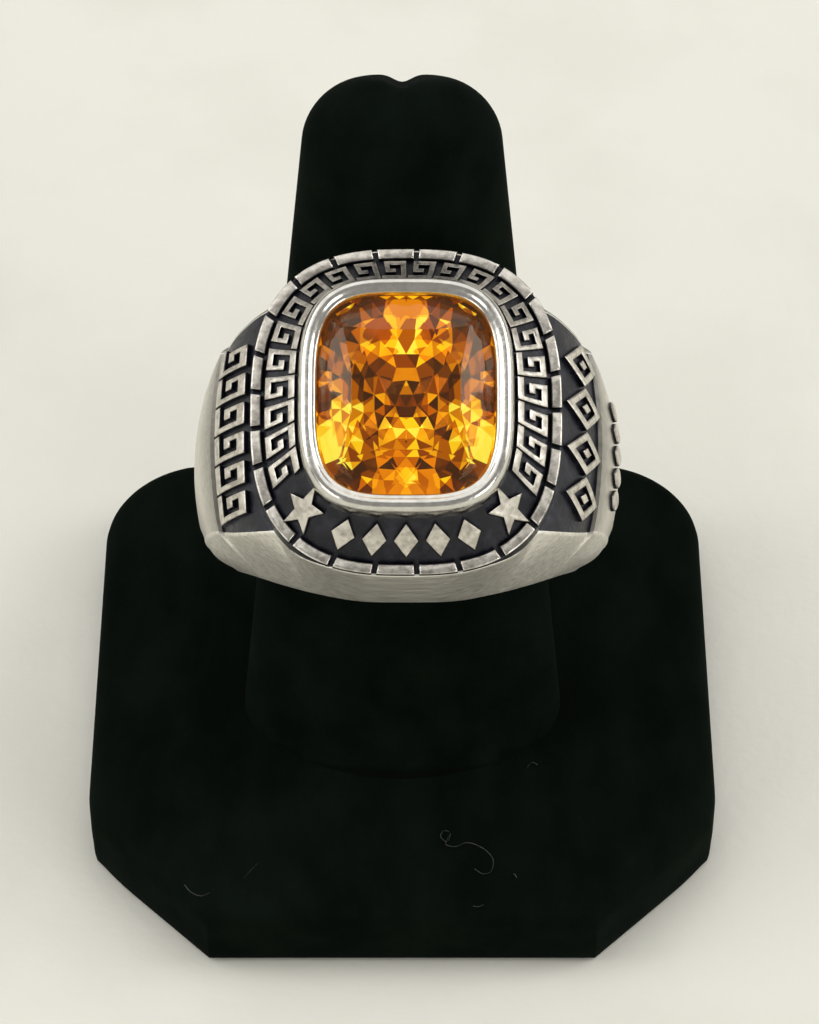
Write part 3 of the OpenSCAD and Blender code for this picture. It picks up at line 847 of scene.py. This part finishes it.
def raised_work(outlines, over, height, edge, frames=()):
    """Cast relief over a ground: points, faces and kinds, with soft top edges and blackened sides.
    A frame is a pair of outlines, outside and hole."""
    points, faces, kinds = [], [], []
    bright, dark = 0, 1

    def add(rings, loop, side_rings):
        """Adds the faces over some rings. Those that start from the side rings are blackened."""
        first = len(points)
        around = len(rings[0])
        points.extend(np.concatenate(rings))
        made = loft(len(rings), around, loop)
        faces.extend(tuple(first + index for index in face) for face in made)
        strips = len(rings) if loop else len(rings) - 1
        for strip in range(strips):
            kinds.extend([dark if strip in side_rings else bright] * around)
        kinds.extend([] if loop else [dark, bright])

    for outline in outlines:
        fine = fine_outline(outline)
        steps = [(0, -work_root), (0, height - edge), (0.3 * edge, height - 0.3 * edge), (edge, height)]
        add([over(drawn_in(fine, inward), up) for inward, up in steps], False, (0,))
    for outside, hole in frames:
        out_line, hole_line = (fine_outline(line, math.inf, frame_cuts) for line in (outside, hole))
        steps = [(out_line, 0, -work_root), (out_line, 0, height - edge), (out_line, edge, height),
                 (hole_line, -edge, height), (hole_line, 0, height - edge), (hole_line, 0, -work_root)]
        add([over(drawn_in(line, inward), up) for line, inward, up in steps], True, (0, 4, 5))
    return on_ring(points), faces, kinds


silver_cast, cast_shader = make_finish("rubbed_silver", SILVER, 0.34, 1.0)
rub = grain(silver_cast, 2.2, detail=4)
tint(silver_cast, cast_shader, rub, RUBBED_LOW, RUBBED, 0.30, 0.60)
dull(silver_cast, cast_shader, grain(silver_cast, 6), 0.26, 0.44)
roughen(silver_cast, cast_shader, [(rub, 0.03), (grain(silver_cast, 14), 0.006)])


def on_oval(outline, directions):
    """Places on an oval outline in some directions from its middle."""
    return [oval_radius(outline, turn) * np.array([math.cos(turn), math.sin(turn)]) for turn in directions]


BARS_OUTSIDE = (RIM[0] - bar_inset, RIM[1] - bar_inset, RIM[2])
bars = []
step = 2 * math.pi / bar_count
for i in range(bar_count):
    gap = bar_gap / oval_radius(RIM, step * i)
    turns = np.linspace(step * i + gap / 2, step * (i + 1) - gap / 2, bar_points)
    bars.append(on_oval(BARS_OUTSIDE, turns) + on_oval(GROUND, turns[::-1]))
points, faces, kinds = raised_work(bars, over_head, relief, bar_edge)
make_piece("rim_bars", points, faces, [silver_cast, blackening], kinds, sharp=50)

# Silver casting: raised work on the head
# The long run over the top of the head is a running key pattern, and a short row of lozenges lies below
# the stone. Two five-pointed stars part them, each with a point towards the front.
key_count = 22
key_fill = 0.93
lozenge_count = 5
star_angle = 47
star_d = 2.5
star_waist = 0.42
star_proud = 0.08
run_margin = 12
head_work_edge = 0.06
star_edge = 0.07
# One unit of each pattern: share along it, and share across the channel from the bezel to the rim
LOZENGE = [(0.12, 0.5), (0.5, 0.15), (0.88, 0.5), (0.5, 0.85)]
KEY = [
    (0, 0.1), (1, 0.1), (1, 0.27), (0.2, 0.27), (0.2, 0.73), (0.62, 0.73), (0.62, 0.57), (0.4, 0.57),
    (0.4, 0.41), (0.8, 0.41), (0.8, 0.9), (0, 0.9),
]


def in_channel(degrees, out):
    """A place in the channel: direction from the middle of the head, and share of the way out."""
    angle = math.radians(degrees)
    radius = mix(oval_radius(BEZEL, angle), oval_radius(GROUND, angle), out)
    return np.array([radius * math.cos(angle), radius * math.sin(angle)])


def even_steps(begin, end, count):
    """Directions that cut a run of the channel into steps of even length along its middle."""
    fine = np.linspace(begin, end, 400)
    line = np.array([in_channel(d, 0.5) for d in fine])
    walked = np.concatenate([[0], np.cumsum(np.linalg.norm(np.diff(line, axis=0), axis=1))])
    return np.interp(np.linspace(0, walked[-1], count + 1), walked, fine)


long_from, long_to = run_margin - star_angle, 180 - run_margin + star_angle
short_from = 180 + star_angle + run_margin
short_to = 360 - star_angle - run_margin
work = []
stops = even_steps(long_from, long_to, key_count)
for begin, end in zip(stops, stops[1:]):
    work.append([in_channel(mix(begin, end, along * key_fill), out) for along, out in KEY])
stops = even_steps(short_from, short_to, lozenge_count)
for begin, end in zip(stops, stops[1:]):
    work.append([in_channel(mix(begin, end, along), out) for along, out in LOZENGE])
points, faces, kinds = raised_work(work, over_head, relief, head_work_edge)
make_piece("head_ornament", points, faces, [silver_cast, blackening], kinds, sharp=45)

stars = []
for side in (-1, 1):
    middle = in_channel(270 + side * (90 - star_angle), 0.5)
    corners = [(math.radians(36 * i - 90), 1 if i % 2 == 0 else star_waist) for i in range(10)]
    stars.append([middle + star_d / 2 * share * np.array([math.cos(a), math.sin(a)]) for a, share in corners])
points, faces, kinds = raised_work(stars, over_head, relief + star_proud, star_edge)
make_piece("star_pair", points, faces, [silver_cast, blackening], kinds, sharp=20)

# Silver casting: raised work on the shoulders
# The left shoulder carries a key pattern that stands just above the plain border of the band. The right
# one carries four framed lozenges, and small leaves lie below them on the side of the band.
left_count = 6
right_count = 4
left_mid = 45.3
right_mid = 46.3
left_height = 4.2
right_height = 4.1
left_margin = 1.3
right_margin = 1.2
shoulder_work_edge = 0.07
frame_shares = (0.48, 0.29, 0.12)
leaf_count = 5
leaf_angle = 69
leaf_run = panel_l * 0.52
leaf_shares = (0.72, 0.44)
leaf_points = 9
leaf_h = relief * 1.8
leaf_edge = 0.12


def over_shoulder(side, middle):
    """Puts places on a shoulder: X down it from a middle direction, Y along the finger."""

    def over(places, height):
        angles = middle + np.degrees(places[:, 0] / ground_radius(middle))
        halves = np.array([mix(shank_w / 2, panel_half, band_share(a, 1)) for a in angles])
        falls = np.array([band_fall(a) for a in angles]) * (places[:, 1] / halves) ** 2
        radius = np.array([ground_radius(a) for a in angles]) - falls + height
        turn = np.radians(angles)
        return np.column_stack([side * radius * np.sin(turn), places[:, 1], radius * np.cos(turn)])

    return over


run = panel_l - 2 * left_margin
pitch = run / left_count
left_keys = [
    [(left_height * (0.5 - out), pitch * (i + along * key_fill) - run / 2) for along, out in KEY]
    for i in range(left_count)
]
over_left = over_shoulder(-1, left_mid)
points, faces, kinds = raised_work(left_keys, over_left, relief, shoulder_work_edge)
make_piece("left_shoulder_work", points, faces, [silver_cast, blackening], kinds, sharp=45)

# Each frame is a lozenge with a smaller one cut out of it, and has a bud in its middle
run = panel_l - 2 * right_margin
pitch = run / right_count
frames, buds = [], []
for i in range(right_count):
    y = pitch * (i + 0.5) - run / 2
    rings = []
    for share in frame_shares:
        a, b = right_height * share, pitch * share
        rings.append([(a, y), (0, y + b), (-a, y), (0, y - b)])
    frames.append((rings[0], rings[1]))
    buds.append(rings[2])
over_right = over_shoulder(1, right_mid)
points, faces, kinds = raised_work(buds, over_right, relief, shoulder_work_edge, frames)
make_piece("right_shoulder_work", points, faces, [silver_cast, blackening], kinds, sharp=45)

leaf_pitch = leaf_run / leaf_count
leaves = []
for i in range(leaf_count):
    y = leaf_pitch * (i - (leaf_count - 1) / 2)
    curve = np.linspace(-1, 1, leaf_points)
    long_half, wide_half = (leaf_pitch * share for share in leaf_shares)
    right_side = [(long_half * t, y + wide_half * (1 - t * t)) for t in curve]
    left_side = [(long_half * t, y - wide_half * (1 - t * t)) for t in reversed(curve[1:-1])]
    leaves.append(right_side + left_side)
points, faces, kinds = raised_work(leaves, over_shoulder(1, leaf_angle), leaf_h, leaf_edge)
make_piece("side_leaves", points, faces, [silver_cast, blackening], kinds, sharp=30)

# Stone
# A cushion-cut stone, clear as amber glass. Above its girdle are a table, eight kites, eight stars and
# sixteen girdle facets, and below it the same, with eight facets down to a point in place of a table.
# The collar of the bezel closes over its edge.
CLEAR = (1.0, 0.94, 0.80)
VEIL = (0.30, 0.25, 0.17)
PAINTED_GLINT = (0.85, 0.78, 0.62)
clear_ior = 1.5
lip = 0.1
crown_h = 1.35
girdle_t = 0.2
girdle_down = 0.95
pavilion_h = 4.3
table_share = 0.60
crown_kite = 0.6
low_share = 0.40
low_depth = 0.72
pavilion_kite = 0.55
STONE = (opening_w / 2 + lip, opening_l / 2 + lip, 3.6)
girdle_z = bezel_top_z - girdle_down
pavilion_z = girdle_z - girdle_t


def stone_point(eighth, share, z):
    """A corner of the cut: direction in eighths of a turn, share of the girdle's width, and height."""
    angle = 2 * math.pi * eighth / 8 + math.pi / 8
    radius = float(oval_radius(STONE, angle)) * share
    return np.array([radius * math.cos(angle), radius * math.sin(angle), z])


def shared_corner(i, own, outer, half_next, half_before, z):
    """Corner between kites i and i + 1, at a height: where their two planes meet."""
    rows, sums = [], []
    for k in (i, i + 1):
        normal = np.cross(outer(k) - own(k), half_next(k) - half_before(k))
        rows.append(normal[:2])
        sums.append(normal @ own(k) - normal[2] * z)
    x, y = np.linalg.solve(rows, sums)
    return np.array([x, y, z])


stone_points = []
stone_faces = []


def corner_number(point):
    """Adds a corner to the stone, and gives its number."""
    stone_points.append(point)
    return len(stone_points) - 1


def cut_side(inner_share, inner_z, girdle_level, kite_share):
    """Kites and girdle facets between an inner row of eight corners and the girdle. The kites' side
    corners lie at a share of the way from the girdle's level to the inner row's."""
    between_z = mix(girdle_level, inner_z, kite_share)
    inner = [corner_number(stone_point(i, inner_share, inner_z)) for i in range(8)]
    edge = [corner_number(stone_point(i / 2, 1, girdle_level)) for i in range(16)]
    between = [
        corner_number(shared_corner(
            i, lambda k: stone_point(k, inner_share, inner_z), lambda k: stone_point(k, 1, girdle_level),
            lambda k: stone_point(k + 0.5, 1, girdle_level), lambda k: stone_point(k - 0.5, 1, girdle_level),
            between_z,
        ))
        for i in range(8)
    ]
    for i in range(8):
        stone_faces.append((inner[i], between[i - 1], edge[2 * i], between[i]))
        stone_faces.append((between[i], edge[2 * i], edge[2 * i + 1]))
        stone_faces.append((between[i], edge[2 * i + 1], edge[(2 * i + 2) % 16]))
    return inner, between, edge


low_z = pavilion_z - pavilion_h * low_depth
table, crown_between, upper_edge = cut_side(table_share, girdle_z + crown_h, girdle_z, crown_kite)
low_row, low_between, lower_edge = cut_side(low_share, low_z, pavilion_z, pavilion_kite)
culet = corner_number(np.array([0, 0, pavilion_z - pavilion_h]))
stone_faces.append(tuple(table))
for i in range(8):
    j = (i + 1) % 8
    stone_faces.append((table[i], crown_between[i], table[j]))
    stone_faces.append((low_row[i], low_between[i], low_row[j]))
    stone_faces.append((low_row[i], low_row[j], culet))
for i in range(16):
    j = (i + 1) % 16
    stone_faces.append((upper_edge[i], upper_edge[j], lower_edge[j], lower_edge[i]))

clear = {"transmission_weight": 1.0, "ior": clear_ior}
amber, _ = make_finish("amber_stone", CLEAR, 0.0, specular_tint=(*VEIL, 1), **clear)
# The second stone material has a brighter reflection tint, for painted glints on a few facets
painted_glint_stone, _ = make_finish("amber_stone_painted_glint", CLEAR, 0.0, specular_tint=(*PAINTED_GLINT, 1), **clear)

# A few facets of the crown get a brighter reflection tint, a painted glint: those behind the table, and those
# at its sides
behind_table = (3.0, 5.0)
behind_half_w = 3.2
beside_table = 3.0
beside_l = 3.6
painted_glints = []
for face in stone_faces:
    x, y, z = np.mean([stone_points[index] for index in face], axis=0)
    at_back = behind_table[0] < y < behind_table[1] and abs(x) < behind_half_w
    at_side = abs(x) > beside_table and 0 < y < beside_l
    painted_glints.append(1 if z > girdle_z + 0.2 and (at_back or at_side) else 0)
stone = make_piece("cut_stone", on_ring(stone_points), stone_faces, [amber, painted_glint_stone], painted_glints, 0)
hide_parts("stone")

# Fire of the stone
# The rows of facets on the stone's underside, which act as coloured mirrors for the light that comes in
# through the table,
# and also glow with a painted light: yellow, orange and brown flashes, alike on the left and the right.
mirror_share = 0.45
painted_glow_strength = 0.9
splinters_per_mm = (0.9, 0.6, 0.9)
middle_splinters = 0.28
bright_splinters = 0.78
# What the facets mirror and glow with as painted light, from the darkest to the brightest
AMBER_GLOWS = [
    (0.055, 0.022, 0.009), (0.11, 0.032, 0.008), (0.23, 0.055, 0.007), (0.42, 0.11, 0.005),
    (0.64, 0.22, 0.006), (0.85, 0.38, 0.008), (0.98, 0.62, 0.013), (1.0, 0.86, 0.07),
]
fire_depth = 0.88
fire_rows = [
    # share of the girdle's width, share of the depth, corners, and their shift in steps
    (1.00, -0.04, 48, 0), (0.93, 0.06, 48, 0.5), (0.74, 0.24, 48, 0), (0.60, 0.37, 24, 0.5),
    (0.47, 0.49, 24, 0), (0.35, 0.59, 12, 0.5), (0.24, 0.69, 12, 0), (0.12, 0.79, 6, 0.5),
]
# A facet's painted glow goes by a share that is drawn for it, and by how near it is to the painted bright and
# dark patches named here, which are given in shares of half the stone's width and length
even_painted_glow = 0.44
drawn_painted_glow = 0.30
turned_painted_glow = (0.10, -0.10, 0)
painted_flashes = [
    # aside from the middle, towards the back, width, length, strength
    (0.72, -0.36, 0.26, 0.24, 0.78), (0.11, -0.28, 0.15, 0.15, 0.56), (0.27, 0.58, 0.22, 0.12, 0.50),
    (0.20, -0.84, 0.40, 0.14, 0.22), (0.00, 0.14, 0.36, 0.32, -0.05), (0.60, -0.72, 0.18, 0.14, -0.38),
    (0.36, -0.50, 0.12, 0.18, -0.26), (0.80, 0.34, 0.28, 0.40, -0.22), (0.60, 0.72, 0.30, 0.24, -0.42),
]
painted_glow_finishes = []
for number, colour in enumerate(AMBER_GLOWS):
    mirror = [mirror_share * share for share in colour]
    # A painted glow: each facet emits its amber as well as mirroring it
    finish, shader = make_finish(f"amber_painted_glow_{number}", mirror, 0.12, 1.0)
    shader.inputs["Emission Strength"].default_value = painted_glow_strength
    # Each facet's painted glow has splinters of a darker and a brighter amber, alike on both sides of the
    # stone
    nodes, links = finish.node_tree.nodes, finish.node_tree.links
    place = nodes.new("ShaderNodeTexCoord")
    shift = nodes.new("ShaderNodeMapping")
    shift.inputs["Location"].default_value = (-ring_middle.x / MM * splinters_per_mm[0], 0, 0)
    shift.inputs["Scale"].default_value = [per_mm / MM for per_mm in splinters_per_mm]
    mirrored_place = nodes.new("ShaderNodeVectorMath")
    mirrored_place.operation = "ABSOLUTE"
    splinters = nodes.new("ShaderNodeTexVoronoi")
    splinters.inputs["Scale"].default_value = 1
    pick = nodes.new("ShaderNodeSeparateColor")
    shades = nodes.new("ShaderNodeValToRGB")
    shades.color_ramp.interpolation = "CONSTANT"
    shades.color_ramp.elements[0].color = (*AMBER_GLOWS[max(0, number - 2)], 1)
    shades.color_ramp.elements[1].position = middle_splinters
    shades.color_ramp.elements[1].color = (*colour, 1)
    bright = shades.color_ramp.elements.new(bright_splinters)
    bright.color = (*AMBER_GLOWS[min(len(AMBER_GLOWS) - 1, number + 1)], 1)
    links.new(place.outputs["Object"], shift.inputs["Vector"])
    links.new(shift.outputs["Vector"], mirrored_place.inputs[0])
    links.new(mirrored_place.outputs["Vector"], splinters.inputs["Vector"])
    links.new(splinters.outputs["Color"], pick.inputs["Color"])
    links.new(pick.outputs["Red"], shades.inputs["Fac"])
    links.new(shades.outputs["Color"], shader.inputs["Emission Color"])
    painted_glow_finishes.append(finish)

fire_points = []
fire_starts = []
for share, depth, count, shifted in fire_rows:
    fire_starts.append(len(fire_points))
    for i in range(count):
        eighth_from_back = 8 * (i + shifted) / count + 1.5
        fire_points.append(stone_point(eighth_from_back, share, pavilion_z - pavilion_h * depth))
fire_points.append(np.array([0, 0, pavilion_z - pavilion_h * fire_depth]))
fire_faces, painted_glow_kinds = [], []


def painted_glow_kind(face, row, turned):
    """Which amber a facet mirrors and glows with: a few painted bright patches over brown, alike on both
    sides.
    """
    x, y, _ = np.mean([fire_points[index] for index in face], axis=0)
    aside, back = abs(x) / STONE[0], y / STONE[1]
    # The seed goes by the place, so that a facet and its mirror image draw the same number
    seed = 5501 * row + 131 * round(aside * 50 + 0.01) + round(back * 50 + 0.01)
    glow = even_painted_glow + drawn_painted_glow * random.Random(seed).uniform(-1, 1) + turned_painted_glow[turned]
    for at_side, at_back, wide, long, strength in painted_flashes:
        glow += strength * math.exp(-(((aside - at_side) / wide) ** 2) - ((back - at_back) / long) ** 2)
    return int(min(len(AMBER_GLOWS) - 1, max(0, glow * len(AMBER_GLOWS))))


for row in range(len(fire_rows) - 1):
    low, high = fire_starts[row], fire_starts[row + 1]
    count, inner_count = fire_rows[row][2], fire_rows[row + 1][2]
    for i in range(inner_count):
        j = (i + 1) % inner_count
        # Between rows of as many corners there are two facets to a step, and three where they halve
        if inner_count < count:
            a, b, c = (low + (2 * i + k) % count for k in range(3))
            made = [(a, b, high + i), (b, c, high + i), (c, high + j, high + i)]
        elif row % 2 == 0:
            made = [(low + i, low + j, high + i), (high + i, low + j, high + j)]
        else:
            made = [(low + i, high + j, high + i), (low + i, low + j, high + j)]
        fire_faces += made
        painted_glow_kinds += [painted_glow_kind(face, row, turned) for turned, face in enumerate(made)]
for i in range(fire_rows[-1][2]):
    face = (fire_starts[-1] + i, fire_starts[-1] + (i + 1) % fire_rows[-1][2], len(fire_points) - 1)
    fire_faces.append(face)
    painted_glow_kinds.append(painted_glow_kind(face, len(fire_rows), 2))
make_piece("stone_painted_fire", on_ring(fire_points), fire_faces, painted_glow_finishes, painted_glow_kinds, sharp=0)
